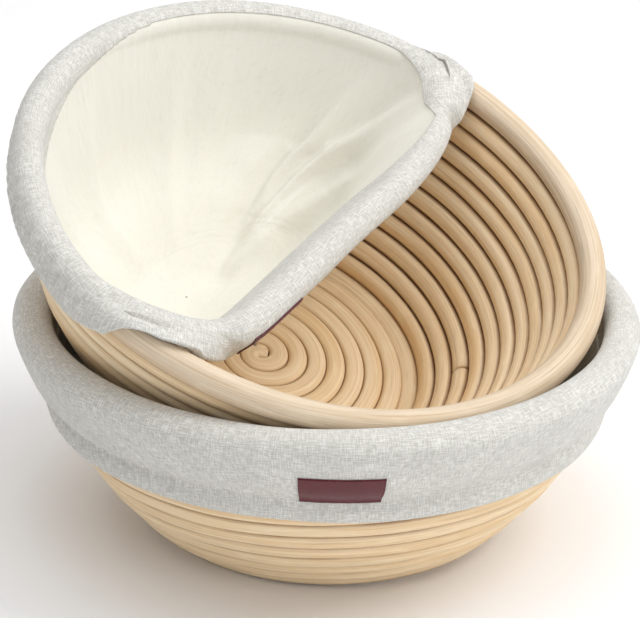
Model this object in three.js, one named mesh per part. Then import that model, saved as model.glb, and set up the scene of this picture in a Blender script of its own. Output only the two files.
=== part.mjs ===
// A nested set of two round rattan proving baskets (bannetons) with elasticated linen liners.
// The lower basket stands upright with its liner fitted over the rim. An equal basket leans
// inside it, and a second liner is pulled over the raised half of that basket's rim.
import * as THREE from 'three';
import { ParametricGeometry } from 'three/addons/geometries/ParametricGeometry.js';

// Driving dimensions, in millimetres and degrees
const PITCH = 7.5; // cane centre to cane centre
const CANE_CORNER = 3.5; // centre to corner of the six-sided cane
const RIM_CORNER = 4.8; // centre to corner of the eight-sided rim cane
const RIM_SEAT = 4.95; // half the height that the rim cane takes up
const FLOOR_ROUNDS = 8;
const WALL_ROUNDS = 11;
const LEAN_LOW = 40.3; // the wall's slope at the floor
const LEAN_HIGH = 70.3; // the wall's slope below the rim
const LEAN_ROUNDS = 9; // rounds over which the slope changes
const STEPS = 20; // facets in one turn of cane
const FACET = 360 / STEPS;
const END_GAP = 0.4; // between the cut ends of two canes
const INNER_END = 1.2; // straight start of the floor coil, past the axis
const WALL_CANE_ENDS = [8, 10.75, 13.45, 16.2, 19.4]; // turns from the centre of the floor
const TAPER_FROM = FLOOR_ROUNDS + WALL_ROUNDS; // the top cane thins out from this turn on

const CLOTH = 1.5; // one layer, with its nap
const BAND = 1.8; // the hem band's double layer
const LINER_GAP = 0.45;
const LINING_ROUNDS = [8, 9, 10, 12, 14, 16, 18, 19]; // the rounds that the lining is shaped beside
const LINING_DIP = 0.3; // how far the middle of its floor sinks

const HEM_ROUND = 16; // the hem's lower edge lies on the outside of this round
const HEM_LAYER = 0.9;
const HEM_CHANNEL = 1.8; // room for the elastic between the two hem layers
const HEM_FOLD = 9; // how far the hem is turned up inside
const HEM_BLEND = 16; // this far above its edge the band is as thin as over the rim
const HEM_BLEND_GAP = 1.15; // between the band and the canes there
const ELASTIC_SEAT = 0.5; // between the elastic and the bottom of its channel
const ELASTIC_HEIGHT = 5;
const ELASTIC_THICKNESS = 1;
const ELASTIC_GAP = 0.4; // between the upper liner's elastic and its band
const LABEL_WIDTH = 30;
const LABEL_HEIGHT = 16;
const LABEL_THICKNESS = 0.6;
const LABEL_GAP = 0.6; // between a label and what it is sewn to
const LABEL_UP = 0.45; // where its middle lies between the hem and the rim
const LABEL_DIRECTION = -87;

const UPPER_BASE = new THREE.Vector3(-26.75, 28.75, 48);
const UPPER_TILT = 23.62;
const UPPER_TILT_AXIS = 40.72; // the direction, seen from above, of the level line it leans about
const LOWER_TURN = 180; // where each coil starts, about its own axis
const UPPER_TURN = 90;

const HOOK_FROM = 65; // the upper liner holds the rim between these two directions
const HOOK_TO = 242;
const HOOK_RADIUS = 5.9; // inside of the hem's hook over the rim
const HOOK_LIFT = 6; // how far the hem rises where it crosses the rim
const HOOK_CLEAR = [10, 32]; // it comes down again between these distances from the free side's ends
const FREE_MIDDLE = -16; // the free hem's middle, from the axis towards the held side
const FREE_CORNER = 19; // how far the free hem's ends lie nearer to the held side
const FREE_POWER = 6; // the higher, the straighter its middle and the tighter its corners
const FREE_INSET = 4; // its ends lie this far inside the rim's centre line
const FREE_STATIONS = 12;
const OUTER_LEG = 12;
const FREE_LEG = 8;
const INNER_LEG = 3;
const CROSSING_LEG = 0.2; // both legs where the hem crosses the rim
const FREE_LABEL_ALONG = -48; // the label's middle, along the free side
const BAG_GAP = 2; // between the hanging cloth and the canes
const BAG_SEAM = 0.6; // between the bag's upper edge and the hem's inner leg
const BAG_SLICES = 24;
const BAG_CENTRE = 35; // from the basket's axis to the middle of the bag
const BAG_FLOOR_EDGE = 10; // from the axis to the free edge of the bag's floor
const BAG_FLOOR_RINGS = [0, 0.5, 0.95];
const BAG_ROUNDS = [9, 11, 13, 15, 17, 19]; // the wall rounds that it is shaped beside
const BAG_POWER = 8; // the higher, the tighter the bag's upright corners

const toRadians = THREE.MathUtils.degToRad;

const finishes = {
  cane: { color: 0xe0c096, roughness: 0.55, metalness: 0 },
  rim: { color: 0xe8cfa8, roughness: 0.5, metalness: 0 },
  lining: { color: 0xf3efe2, roughness: 0.95, metalness: 0 },
  linen: { color: 0xd9d8d2, roughness: 0.95, metalness: 0 },
  elastic: { color: 0xf2f2ee, roughness: 0.8, metalness: 0 },
  label: { color: 0x5a1a22, roughness: 0.85, metalness: 0 },
};

function part(name, geometry, finish) {
  const mesh = new THREE.Mesh(geometry, new THREE.MeshStandardMaterial(finishes[finish]));
  mesh.name = name;
  return mesh;
}

// ---- The basket's section: x is the distance from the axis and y is the height ----

// The centre of the cane after each whole turn, from the middle of the floor to the rim
function caneCentres() {
  const floorHeight = CANE_CORNER * Math.cos(toRadians(30));
  const centres = [];
  for (let round = 0; round <= FLOOR_ROUNDS; round += 1) {
    centres.push(new THREE.Vector2(round * PITCH, floorHeight));
  }
  for (let round = 0; round < WALL_ROUNDS; round += 1) {
    const step = stepAlongWall(PITCH, leanAfter(round));
    centres.push(centres.at(-1).clone().add(step));
  }
  return centres;
}

function leanAfter(round) {
  return THREE.MathUtils.lerp(LEAN_LOW, LEAN_HIGH, Math.min(1, round / LEAN_ROUNDS));
}

function stepAlongWall(length, lean) {
  return new THREE.Vector2(Math.cos(toRadians(lean)), Math.sin(toRadians(lean))).multiplyScalar(length);
}

const centres = caneCentres();
const rimCentre = centres.at(-1).clone().add(stepAlongWall(PITCH / 2 + RIM_SEAT, LEAN_HIGH));

// A point beside the cane of one round: inwards when the distance is positive, outwards if not
function besideRound(round, distance) {
  const before = centres[Math.max(0, round - 1)];
  const after = centres[round + 1] ?? rimCentre;
  const along = after.clone().sub(before).normalize();
  return new THREE.Vector2(-along.y, along.x).multiplyScalar(distance).add(centres[round]);
}

function aroundRim(angle, distance) {
  const turned = toRadians(angle);
  return new THREE.Vector2(Math.cos(turned), Math.sin(turned)).multiplyScalar(distance).add(rimCentre);
}

// ---- Canes ----

// In its first half a turn moves out by one pitch, about a centre half a pitch off the axis.
// Its second half runs level. So the rounds stay one pitch apart, down to the middle, where the
// cane starts with a short straight end over the axis.
function coilPoint(turn) {
  if (turn < 0) return new THREE.Vector3(0, turn * STEPS * INNER_END, centres[0].y);
  const whole = Math.floor(turn);
  const angle = 2 * Math.PI * (turn - whole);
  if (turn > TAPER_FROM) return taperPoint(angle).point;
  const inner = centres[whole];
  const outer = centres[whole + 1] ?? inner;
  if (angle >= Math.PI) {
    return new THREE.Vector3(outer.x * Math.cos(angle), outer.x * Math.sin(angle), outer.y);
  }
  const radius = (inner.x + outer.x) / 2;
  const height = THREE.MathUtils.lerp(inner.y, outer.y, (1 - Math.cos(angle)) / 2);
  const offset = (inner.x - outer.x) / 2;
  return new THREE.Vector3(offset + radius * Math.cos(angle), radius * Math.sin(angle), height);
}

// Past the last whole round the cane is cut to a wedge, which fills the space below the rim
function taperPoint(angle) {
  const below = coilPoint(TAPER_FROM - 1 + angle / (2 * Math.PI));
  const rim = new THREE.Vector3(rimCentre.x * Math.cos(angle), rimCentre.x * Math.sin(angle), rimCentre.y);
  const room = rim.distanceTo(below) - PITCH / 2 - RIM_SEAT;
  const reach = PITCH / 2 + room / 2;
  const point = below.clone().lerp(rim, reach / rim.distanceTo(below));
  return { point, scale: room / PITCH };
}

function coilScale(turn) {
  return turn > TAPER_FROM ? taperPoint(2 * Math.PI * (turn - TAPER_FROM)).scale : 1;
}

function rimPoint(turn) {
  const angle = 2 * Math.PI * turn;
  return new THREE.Vector3(rimCentre.x * Math.cos(angle), rimCentre.x * Math.sin(angle), rimCentre.y);
}

// A path whose section stays upright. Its steps are equal parts of a turn, so that the facets
// of neighbouring rounds lie side by side.
class UprightPath extends THREE.Curve {
  constructor(pointAt, from, to, scaleAt = () => 1) {
    super();
    Object.assign(this, { pointAt, from, to, scaleAt });
  }

  turnAt(share) {
    return THREE.MathUtils.lerp(this.from, this.to, share);
  }

  getPoint(share) {
    return this.pointAt(this.turnAt(share));
  }

  getSpacedPoints(steps) {
    return this.getPoints(steps);
  }

  computeFrenetFrames(steps) {
    const frames = { tangents: [], normals: [], binormals: [] };
    for (let step = 0; step <= steps; step += 1) {
      const share = step / steps;
      const ahead = this.getPoint(Math.min(1, share + 0.001));
      const tangent = ahead.sub(this.getPoint(Math.max(0, share - 0.001))).normalize();
      const level = new THREE.Vector3(-tangent.y, tangent.x, 0).normalize();
      const scale = this.scaleAt(this.turnAt(share));
      frames.tangents.push(tangent);
      frames.normals.push(level.multiplyScalar(scale));
      frames.binormals.push(new THREE.Vector3(0, 0, scale));
    }
    return frames;
  }
}

function roundSection(corner, sides, firstAngle) {
  const points = [];
  for (let side = 0; side < sides; side += 1) {
    const angle = toRadians(firstAngle + (360 * side) / sides);
    points.push(new THREE.Vector2(corner * Math.cos(angle), corner * Math.sin(angle)));
  }
  return new THREE.Shape(points);
}

const caneSection = roundSection(CANE_CORNER, 6, 0);
const rimSection = roundSection(RIM_CORNER, 8, 22.5);

function alongPath(section, path, steps) {
  return new THREE.ExtrudeGeometry(section, { extrudePath: path, steps, bevelEnabled: false });
}

function coilGeometry(from, to) {
  const endTurn = to - END_GAP / (2 * Math.PI * coilPoint(to).length());
  const steps = Math.round((to - from) * STEPS);
  return alongPath(caneSection, new UprightPath(coilPoint, from, endTurn, coilScale), steps);
}

function basket(prefix, turnedBy) {
  const group = new THREE.Group();
  group.rotation.z = toRadians(turnedBy);
  group.add(part(`${prefix}_floor_coil`, coilGeometry(-1 / STEPS, FLOOR_ROUNDS), 'cane'));
  for (let cane = 1; cane < WALL_CANE_ENDS.length; cane += 1) {
    const wall = coilGeometry(WALL_CANE_ENDS[cane - 1], WALL_CANE_ENDS[cane]);
    group.add(part(`${prefix}_wall_cane_${cane}`, wall, 'cane'));
  }
  const rimEnd = 1 - END_GAP / (2 * Math.PI * rimCentre.x);
  const rim = alongPath(rimSection, new UprightPath(rimPoint, 0, rimEnd), STEPS);
  group.add(part(`${prefix}_rim_cane`, rim, 'rim'));
  return group;
}

// ---- The fitted liner ----

function turnedAboutZ(profile) {
  const geometry = new THREE.LatheGeometry(profile, STEPS);
  geometry.rotateX(Math.PI / 2);
  return geometry;
}

function fittedLining() {
  const outside = LINING_ROUNDS.map((round) => besideRound(round, CANE_CORNER + LINER_GAP));
  const inside = LINING_ROUNDS.map((round) => besideRound(round, CANE_CORNER + LINER_GAP + CLOTH));
  outside.unshift(new THREE.Vector2(0, outside[0].y - LINING_DIP));
  inside.unshift(new THREE.Vector2(0, outside[0].y + CLOTH));
  return turnedAboutZ([...outside, ...inside.reverse()]);
}

function hemPoint(up, out) {
  const foot = besideRound(HEM_ROUND, -CANE_CORNER - LINER_GAP);
  const along = centres[HEM_ROUND + 1].clone().sub(centres[HEM_ROUND - 1]).normalize();
  return foot.addScaledVector(along, up).addScaledVector(new THREE.Vector2(along.y, -along.x), out);
}

// Over the rim, down the outside, and turned up inside its own hem
function fittedBand() {
  const under = RIM_CORNER + LINER_GAP;
  const angles = [0, 45, 90, 135, 180, 205];
  const innerArc = angles.map((angle) => aroundRim(angle, under));
  const outerArc = angles.map((angle) => aroundRim(angle, under + BAND));
  const outLayer = HEM_LAYER + HEM_CHANNEL;
  return turnedAboutZ([
    ...innerArc.reverse(),
    hemPoint(HEM_BLEND, HEM_BLEND_GAP),
    hemPoint(HEM_FOLD + HEM_LAYER, outLayer),
    hemPoint(HEM_LAYER, outLayer),
    hemPoint(HEM_LAYER, HEM_LAYER),
    hemPoint(HEM_FOLD, HEM_LAYER),
    hemPoint(HEM_FOLD, 0),
    hemPoint(0, 0),
    hemPoint(0, outLayer + HEM_LAYER),
    hemPoint(HEM_FOLD, outLayer + HEM_LAYER),
    hemPoint(HEM_BLEND, BAND + HEM_BLEND_GAP),
    ...outerArc,
    innerArc.at(0).clone(),
  ]);
}

function fittedElastic() {
  const low = HEM_LAYER + ELASTIC_SEAT;
  const near = HEM_LAYER + (HEM_CHANNEL - ELASTIC_THICKNESS) / 2;
  const high = low + ELASTIC_HEIGHT;
  const far = near + ELASTIC_THICKNESS;
  const corners = [[low, near], [low, far], [high, far], [high, near], [low, near]];
  return turnedAboutZ(corners.map(([up, out]) => hemPoint(up, out)));
}

// A woven patch, bent round the band at the front
function labelGeometry(middle, lean, direction) {
  const halfHeight = LABEL_HEIGHT / 2;
  const section = new THREE.Shape([
    new THREE.Vector2(0, -halfHeight),
    new THREE.Vector2(-LABEL_THICKNESS, -halfHeight),
    new THREE.Vector2(-LABEL_THICKNESS, halfHeight),
    new THREE.Vector2(0, halfHeight),
  ].map((corner) => corner.rotateAround(new THREE.Vector2(), toRadians(90 - lean))).reverse());
  const start = direction / 360 - LABEL_WIDTH / (4 * Math.PI * middle.x);
  const end = direction / 360 + LABEL_WIDTH / (4 * Math.PI * middle.x);
  const pointAt = (turn) => {
    const angle = 2 * Math.PI * turn;
    return new THREE.Vector3(middle.x * Math.cos(angle), middle.x * Math.sin(angle), middle.y);
  };
  return alongPath(section, new UprightPath(pointAt, start, end), 6);
}

function fittedLiner() {
  const group = new THREE.Group();
  group.add(part('lower_liner_lining', fittedLining(), 'lining'));
  group.add(part('lower_liner_band', fittedBand(), 'linen'));
  group.add(part('lower_liner_elastic', fittedElastic(), 'elastic'));
  const foot = hemPoint(HEM_BLEND, BAND + HEM_BLEND_GAP);
  const top = aroundRim(0, RIM_CORNER + LINER_GAP + BAND);
  const middle = foot.clone().lerp(top, LABEL_UP).add(new THREE.Vector2(LABEL_GAP, 0));
  const lean = THREE.MathUtils.radToDeg(top.clone().sub(foot).angle());
  group.add(part('lower_liner_label', labelGeometry(middle, lean, LABEL_DIRECTION), 'label'));
  return group;
}

// ---- The half-fitted liner, in the leaning basket's own frame ----

const hookMiddle = toRadians((HOOK_FROM + HOOK_TO) / 2);
const held = new THREE.Vector2(Math.cos(hookMiddle), Math.sin(hookMiddle)); // towards the held side
const across = new THREE.Vector2(held.y, -held.x); // along the free side
const freeHalf = rimCentre.x - FREE_INSET;

// Where the free hem runs, from the axis towards the held side
function freeLine(along) {
  return FREE_MIDDLE + FREE_CORNER * Math.abs(along / freeHalf) ** FREE_POWER;
}

// From the middle of the bag to the nearer of the basket's wall and the straight edge, rounded
function bagReach(angle, wallRadius, edgeOffset) {
  const ray = new THREE.Vector2(Math.cos(angle), Math.sin(angle));
  const outwards = BAG_CENTRE * held.dot(ray);
  const toWall = Math.sqrt(wallRadius ** 2 - BAG_CENTRE ** 2 + outwards ** 2) - outwards;
  const towardsEdge = -held.dot(ray);
  if (towardsEdge <= 0) return toWall;
  const toEdge = (BAG_CENTRE - edgeOffset) / towardsEdge;
  return (toWall ** -BAG_POWER + toEdge ** -BAG_POWER) ** (-1 / BAG_POWER);
}

// Levels of the bag from the middle of its floor up to the hem, for one face of the cloth. Its
// free side slopes in from the hem to the floor.
function bagLevels(inset) {
  const floorHeight = centres[0].y + CANE_CORNER + BAG_GAP + inset;
  const topHeight = rimCentre.y - INNER_LEG - BAG_SEAM;
  const level = (share, radius, height) => {
    const up = (height - floorHeight) / (topHeight - floorHeight);
    const edge = THREE.MathUtils.lerp(BAG_FLOOR_EDGE, FREE_MIDDLE + HOOK_RADIUS, up) + inset;
    return { share, radius, edge, height };
  };
  const floorRadius = centres[FLOOR_ROUNDS].x - inset;
  const floor = BAG_FLOOR_RINGS.map((share) => level(share, floorRadius, floorHeight));
  const wall = BAG_ROUNDS.map((round) => besideRound(round, CANE_CORNER + BAG_GAP + inset))
    .map((beside) => level(1, beside.x, beside.y));
  return [...floor, ...wall, level(1, rimCentre.x - HOOK_RADIUS - inset, topHeight)];
}

function bagGeometry() {
  const levels = [...bagLevels(0), ...bagLevels(CLOTH).reverse()];
  const surface = (along, around, target) => {
    const level = levels[Math.round(along * (levels.length - 1))];
    const angle = -2 * Math.PI * (around % 1);
    const reach = level.share * bagReach(angle, level.radius, level.edge);
    target.set(
      BAG_CENTRE * held.x + reach * Math.cos(angle),
      BAG_CENTRE * held.y + reach * Math.sin(angle),
      level.height,
    );
  };
  return new ParametricGeometry(surface, levels.length - 1, BAG_SLICES);
}

// The line that the hem runs along: over the rim on the held side, then along the free side.
// leg is how far the band's outer side hangs there.
function hemStations() {
  const stations = [];
  const first = Math.ceil(HOOK_FROM / FACET); // on the corners of the rim's facets
  const last = Math.floor(HOOK_TO / FACET);
  for (let facet = first; facet <= last; facet += 1) {
    const atEnd = facet === first || facet === last;
    const angle = toRadians(facet * FACET);
    stations.push({
      x: rimCentre.x * Math.cos(angle),
      y: rimCentre.x * Math.sin(angle),
      lift: atEnd ? HOOK_LIFT : 0,
      leg: atEnd ? 0 : OUTER_LEG,
    });
  }
  for (let step = 0; step <= FREE_STATIONS; step += 1) {
    const along = THREE.MathUtils.lerp(-freeHalf, freeHalf, step / FREE_STATIONS);
    const clear = THREE.MathUtils.smoothstep(freeHalf - Math.abs(along), ...HOOK_CLEAR);
    const line = freeLine(along);
    stations.push({
      x: line * held.x + across.x * along,
      y: line * held.y + across.y * along,
      lift: HOOK_LIFT * (1 - clear),
      leg: FREE_LEG * clear,
    });
  }
  return stations;
}

// Sweeps a closed section, given as points (out, up) for each station, round the hem
function sweepHem(sectionAt) {
  const stations = hemStations();
  const count = stations.length;
  const rings = stations.map((station, index) => {
    const before = stations[(index + count - 1) % count];
    const after = stations[(index + 1) % count];
    const out = new THREE.Vector2(after.y - before.y, before.x - after.x).normalize();
    return sectionAt(station).map(([away, up]) => new THREE.Vector3(
      station.x + out.x * away,
      station.y + out.y * away,
      rimCentre.y + station.lift + up,
    ));
  });
  const sides = rings[0].length;
  const surface = (around, along, target) => {
    const ring = rings[Math.round(along * count) % count];
    target.copy(ring[Math.round((1 - around) * sides) % sides]);
  };
  return new ParametricGeometry(surface, sides, count);
}

function hookSection(station) {
  const angles = [0, 45, 90, 135, 180];
  const onArc = (radius) => (angle) => {
    const turned = toRadians(angle);
    return [radius * Math.cos(turned), radius * Math.sin(turned)];
  };
  const outer = HOOK_RADIUS + BAND;
  const innerLeg = station.lift > 0 ? CROSSING_LEG : INNER_LEG;
  return [
    ...angles.map(onArc(outer)),
    [-outer, -innerLeg],
    [-HOOK_RADIUS, -innerLeg],
    ...angles.reverse().map(onArc(HOOK_RADIUS)),
    [HOOK_RADIUS, -station.leg - CROSSING_LEG],
    [outer, -station.leg - CROSSING_LEG],
  ];
}

function elasticSection(station) {
  const near = HOOK_RADIUS + BAND + ELASTIC_GAP;
  const low = -station.leg;
  return [
    [near, low],
    [near + ELASTIC_THICKNESS, low],
    [near + ELASTIC_THICKNESS, low + ELASTIC_HEIGHT],
    [near, low + ELASTIC_HEIGHT],
  ];
}

// The patch hangs on the outside of the free hem
function freeLabel() {
  const label = new THREE.BoxGeometry(LABEL_WIDTH, LABEL_THICKNESS, LABEL_HEIGHT);
  label.rotateZ(hookMiddle - Math.PI / 2);
  const out = HOOK_RADIUS + BAND + ELASTIC_GAP + ELASTIC_THICKNESS + LABEL_GAP;
  const offset = freeLine(FREE_LABEL_ALONG) - out;
  label.translate(
    offset * held.x + FREE_LABEL_ALONG * across.x,
    offset * held.y + FREE_LABEL_ALONG * across.y,
    rimCentre.y - FREE_LEG,
  );
  return label;
}

function halfFittedLiner() {
  const group = new THREE.Group();
  group.add(part('upper_liner_lining', bagGeometry(), 'lining'));
  group.add(part('upper_liner_band', sweepHem(hookSection), 'linen'));
  group.add(part('upper_liner_elastic', sweepHem(elasticSection), 'elastic'));
  group.add(part('upper_liner_label', freeLabel(), 'label'));
  return group;
}

// ---- The set ----

function leaningBasket() {
  const group = new THREE.Group();
  const turned = toRadians(UPPER_TILT_AXIS);
  const levelLine = new THREE.Vector3(Math.cos(turned), Math.sin(turned), 0);
  group.quaternion.setFromAxisAngle(levelLine, toRadians(UPPER_TILT));
  group.position.copy(UPPER_BASE);
  group.add(basket('upper', UPPER_TURN), halfFittedLiner());
  return group;
}

const set = new THREE.Group();
set.add(basket('lower', LOWER_TURN), fittedLiner(), leaningBasket());

export default set;
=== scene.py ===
"""The looks of two nested rattan proving baskets with linen liners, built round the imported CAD."""

import math

import bpy
import numpy as np
from mathutils import Matrix, Vector


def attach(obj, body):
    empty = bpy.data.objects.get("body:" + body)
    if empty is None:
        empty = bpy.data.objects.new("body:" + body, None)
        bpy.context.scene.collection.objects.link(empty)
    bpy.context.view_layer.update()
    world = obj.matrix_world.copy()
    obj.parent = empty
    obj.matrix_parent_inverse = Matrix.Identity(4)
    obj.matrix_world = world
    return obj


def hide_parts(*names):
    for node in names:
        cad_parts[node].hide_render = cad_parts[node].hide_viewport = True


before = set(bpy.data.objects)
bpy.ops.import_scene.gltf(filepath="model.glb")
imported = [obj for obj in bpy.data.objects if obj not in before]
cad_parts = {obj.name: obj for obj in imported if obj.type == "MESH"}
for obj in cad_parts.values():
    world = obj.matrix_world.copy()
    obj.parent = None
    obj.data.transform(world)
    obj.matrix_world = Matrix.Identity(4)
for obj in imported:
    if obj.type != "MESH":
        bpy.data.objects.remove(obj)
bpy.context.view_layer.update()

# ---- Driving dimensions, in metres and degrees ----

MM = 0.001
PITCH = 7.5 * MM  # from one round of cane to the next
RIM_RADIUS = 4.95 * MM
FLOOR_ROUNDS, WALL_ROUNDS = 8, 11
LEAN_LOW, LEAN_HIGH, LEAN_ROUNDS = 40.3, 70.3, 9
FLOOR_HALF_HEIGHT = 3.03 * MM  # the floor's canes are pressed a little flat
WALL_CANE_ENDS = (8, 10.75, 13.45, 16.2, 19.4)  # turns from the middle of the floor
TAPER_FROM = FLOOR_ROUNDS + WALL_ROUNDS
LOWER_TURN, UPPER_TURN = 180, 90  # where each coil starts

UPPER_BASE = Vector((-26.75, 28.75, 48)) * MM
UPPER_TILT, UPPER_TILT_AXIS = 23.62, 40.72

CLOTH = 0.8 * MM
LINING_CLOTH = 0.7 * MM
RIM_GAP = 0.3 * MM  # the least way between cane and cloth
HEM_RISE = 14 * MM  # how strongly the upper hem is lifted where it would cut through the rim
RIM_OVER = RIM_RADIUS + 0.35 * MM + CLOTH / 2  # from the rim's middle to that of the cloth over it
LOWER_HEM = (102.9 * MM, 48.6 * MM)  # distance from the axis, and height
HEM_FOLD = 9 * MM
HEM_THICKNESS = 2.2 * MM
ELASTIC_WIDTH = 5 * MM
STITCH, STITCH_GAP = 2.6 * MM, 1.1 * MM
PLEAT = 4.6 * MM
HEM_STATIONS = 900
LABEL_SIZE = {"lower": (30 * MM, 16 * MM), "upper": (30 * MM, 12.5 * MM)}
LABEL_THICKNESS = 0.5 * MM
LABEL_ABOVE = {"lower": 7.5 * MM, "upper": 1 * MM}  # from the hem's edge to the label
LOWER_LABEL = -87  # its direction from the axis
LINING_TOP = 17.4  # the upper one's, in turns of the coil
LOWER_LINING_TOP = 19
FLOOR_SHARE = 0.46  # of the way from the seam to the middle of the bowl
# The free hem's line in mm: towards the held side, and across, from the lower corner to the upper
FREE_LINE = (
    (34, -102), (19, -100.6), (7, -96.5), (-4, -90), (-11, -80), (-13, -67), (-13.6, -45),
    (-14, -15), (-15, 20), (-15.4, 42), (-14, 60), (-10.5, 76), (-5, 89), (4, 99.5), (17, 106.2),
)
# How the hem lies at a distance inside the rim's line: its section as (out, up) in mm
FREE_SECTIONS = (
    (1.5, ((-8, -9.5), (-5.5, -2), (-4.5, 3.7), (0, 5.9), (4.5, 4), (6.6, 0.5), (7.3, -3), (7.4, -6.5))),
    (6, ((-10, -9), (-7.5, -2), (-4.5, 4), (0, 6.6), (4, 6.9), (8, 5.9), (10.6, 3.4), (11.6, 0.6))),
    (10.5, ((-12, -9), (-8.5, -2.5), (-5, 3.2), (-1, 6), (4, 6.9), (8, 6.7), (11.5, 6.2), (13.8, 4.6))),
    (15, ((-13, -9), (-9, -3), (-5, 2.5), (-1, 5.4), (3, 6), (6.5, 5.6), (9.8, 4.8), (12.2, 4))),
    (20, ((-12, -9), (-8.5, -3.5), (-5, 1.6), (-1.4, 4.8), (2, 5.2), (5.4, 3.8), (8, 1.6), (10, -1))),
    (28, ((-10.5, -8), (-8, -3.6), (-5, 1.2), (-1.8, 4.3), (1.4, 4.7), (4.8, 3), (6.6, -0.2), (5.4, -4.4),
          (3, -8.8), (1.4, -12.5))),
)
FREE_LABEL_ALONG = -60 * MM
BAG_FLOOR = 6.9 * MM
BAG_FLOOR_EDGE = 9 * MM
BAG_TOP_EDGE = -4 * MM
BAG_POWER = 6
BAG_ROUNDING = 0.09  # share over which the edge of the bag's floor is rounded
# The bag's folds: their line as (direction in degrees, share of the way to the middle), the
# height in mm, and how far each side reaches in mm, the side of the higher direction first
FOLDS = (
    (((40, 0), (50, 0.13), (56, 0.18), (59, 0.28), (60, 0.39), (61, 0.48), (57, 0.65), (48, 0.8)),
     9.9, 2.2, 17),
    (((60, 0.1), (65, 0.22), (66.5, 0.31), (66.5, 0.39), (62, 0.5)), 5.4, 1.6, 9),
    (((34, 0), (46, 0.23), (50, 0.38), (51, 0.5), (48, 0.67), (38, 0.8)), 5.4, 5, 9),
    (((54, 0.3), (55, 0.42), (56, 0.52), (52, 0.66)), 3.6, 1.6, 7),
    (((74, 0.2), (77, 0.41), (79, 0.56), (74, 0.76)), 4.32, 11, 8),
    (((93, 0.1), (97, 0.3), (96, 0.5)), 1.8, 10, 8),
    (((110, 0.1), (112, 0.38), (106, 0.6)), 2.16, 9, 5),
    (((152, 0.06), (162, 0.2), (167, 0.34), (165, 0.5)), 2.7, 8, 4),
    (((150, 0.36), (165, 0.44), (184, 0.5)), 2.7, 4, 5),
    (((190, 0.05), (196, 0.25), (200, 0.45)), 2.34, 9, 6),
    (((300, 0.05), (330, 0.3), (350, 0.55)), 3.6, 9, 12),
)

SAMPLES_PER_TURN = 96
CANE_SIDES = 18
RIM_SIDES = 28

CAMERA_TARGET = Vector((-3.16, 0, 82.5)) * MM
CAMERA_DISTANCE = 1.312
CAMERA_ELEVATION, CAMERA_ROLL = 24.15, 1.42
CAMERA_LENS = 200


def upper_frame():
    """From the leaning basket's own axes to the row frame."""
    turned = math.radians(UPPER_TILT_AXIS)
    level_line = Vector((math.cos(turned), math.sin(turned), 0))
    return Matrix.Translation(UPPER_BASE) @ Matrix.Rotation(math.radians(UPPER_TILT), 4, level_line)


UPPER = upper_frame()
LOWER = Matrix.Identity(4)


# ---- Small helpers ----


def smooth(x, low, high):
    t = np.clip((x - low) / (high - low), 0, 1)
    return t * t * (3 - 2 * t)


def ripple(x, seed, longest, shortest, count=9):
    """An irregular wave of x, about -1 to 1, made of sines with wavelengths between the two."""
    rng = np.random.default_rng(seed)
    lengths = np.exp(rng.uniform(math.log(shortest), math.log(longest), count))
    phases = rng.uniform(0, 2 * math.pi, count)
    waves = np.sin(2 * math.pi * np.asarray(x)[..., None] / lengths + phases)
    return waves.sum(-1) / math.sqrt(count)


def mesh_object(name, points, faces, attributes=None):
    """A smooth-shaded mesh, with vectors or numbers stored at its points."""
    mesh = bpy.data.meshes.new(name)
    mesh.from_pydata(np.asarray(points).reshape(-1, 3).tolist(), [], faces)
    mesh.polygons.foreach_set("use_smooth", np.ones(len(mesh.polygons), bool))
    for key, values in (attributes or {}).items():
        store(mesh, key, values)
    mesh.validate()
    mesh.update()
    piece = bpy.data.objects.new(name, mesh)
    bpy.context.scene.collection.objects.link(piece)
    return piece


def store(mesh, key, values):
    values = np.asarray(values, np.float32)
    if values.ndim > 1 and values.shape[-1] == 3:
        mesh.attributes.new(key, "FLOAT_VECTOR", "POINT").data.foreach_set("vector", values.ravel())
    else:
        mesh.attributes.new(key, "FLOAT", "POINT").data.foreach_set("value", values.ravel())


def grid_faces(rows, columns, close_rows=False, close_columns=True):
    """Quads of a grid of points, row after row."""
    faces = []
    for i in range(rows if close_rows else rows - 1):
        for j in range(columns if close_columns else columns - 1):
            a, b = i, (i + 1) % rows
            c, d = j, (j + 1) % columns
            faces.append((a * columns + c, a * columns + d, b * columns + d, b * columns + c))
    return faces


def finish_piece(piece, material, body, nodes=(), frame_matrix=LOWER):
    piece.data.transform(frame_matrix)
    piece.data.materials.append(material)
    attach(piece, body)
    if nodes:
        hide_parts(*nodes)
    return piece


# ---- The basket's section, as (distance from the axis, height) ----


def cane_centres():
    centres = [(turn * PITCH, FLOOR_HALF_HEIGHT) for turn in range(FLOOR_ROUNDS + 1)]
    for turn in range(WALL_ROUNDS):
        lean = math.radians(LEAN_LOW + (LEAN_HIGH - LEAN_LOW) * min(1, turn / LEAN_ROUNDS))
        out, up = centres[-1]
        centres.append((out + PITCH * math.cos(lean), up + PITCH * math.sin(lean)))
    return np.array(centres)


CENTRES = cane_centres()
TOP_LEAN = math.radians(LEAN_HIGH)
RIM = CENTRES[-1] + (PITCH / 2 + RIM_RADIUS) * np.array([math.cos(TOP_LEAN), math.sin(TOP_LEAN)])


def lean_at(turn):
    """The wall's slope in radians, 0 on the floor."""
    wall = LEAN_LOW + (LEAN_HIGH - LEAN_LOW) * np.clip((turn - FLOOR_ROUNDS) / LEAN_ROUNDS, 0, 1)
    return np.radians(wall) * smooth(turn, FLOOR_ROUNDS - 0.6, FLOOR_ROUNDS + 0.6)


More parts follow.
